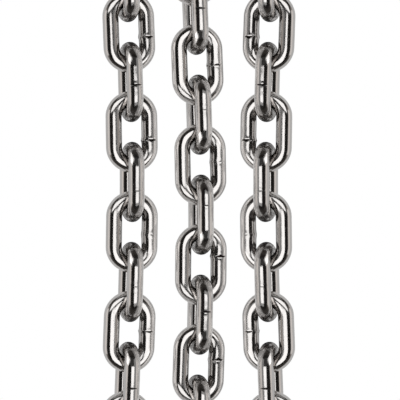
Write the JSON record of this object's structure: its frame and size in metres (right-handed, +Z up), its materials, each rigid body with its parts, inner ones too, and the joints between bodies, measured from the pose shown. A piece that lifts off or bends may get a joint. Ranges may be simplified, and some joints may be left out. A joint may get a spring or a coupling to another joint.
{
  "type": "short-link chain in straight lengths",
  "caption": "Lengths of bright polished short-link steel chain, pulled straight and lying side by side, with welded oval links that hook into each other in turn.",
  "frame": {"origin": "on the floor under the middle of the lengths' box", "axes": "+Y along the lengths, +X across them, +Z up off the floor"},
  "size_m": [0.1252, 0.5176, 0.0315],
  "materials": {
    "bright_steel": "polished"
  },
  "bodies": {
    "root": {"left_run_link_01": "bright_steel", "left_run_link_02": "bright_steel", "left_run_link_03": "bright_steel", "left_run_link_04": "bright_steel", "left_run_link_05": "bright_steel", "left_run_link_06": "bright_steel", "left_run_link_07": "bright_steel", "left_run_link_08": "bright_steel", "left_run_link_09": "bright_steel", "left_run_link_10": "bright_steel", "left_run_link_11": "bright_steel", "left_run_link_12": "bright_steel", "left_run_link_13": "bright_steel", "left_run_link_14": "bright_steel", "left_run_link_15": "bright_steel", "left_run_link_16": "bright_steel", "middle_run_link_01": "bright_steel", "middle_run_link_02": "bright_steel", "middle_run_link_03": "bright_steel", "middle_run_link_04": "bright_steel", "middle_run_link_05": "bright_steel", "middle_run_link_06": "bright_steel", "middle_run_link_07": "bright_steel", "middle_run_link_08": "bright_steel", "middle_run_link_09": "bright_steel", "middle_run_link_10": "bright_steel", "middle_run_link_11": "bright_steel", "middle_run_link_12": "bright_steel", "middle_run_link_13": "bright_steel", "middle_run_link_14": "bright_steel", "middle_run_link_15": "bright_steel", "middle_run_link_16": "bright_steel", "right_run_link_01": "bright_steel", "right_run_link_02": "bright_steel", "right_run_link_03": "bright_steel", "right_run_link_04": "bright_steel", "right_run_link_05": "bright_steel", "right_run_link_06": "bright_steel", "right_run_link_07": "bright_steel", "right_run_link_08": "bright_steel", "right_run_link_09": "bright_steel", "right_run_link_10": "bright_steel", "right_run_link_11": "bright_steel", "right_run_link_12": "bright_steel", "right_run_link_13": "bright_steel", "right_run_link_14": "bright_steel", "right_run_link_15": "bright_steel", "right_run_link_16": "bright_steel"}
  },
  "joints": []
}
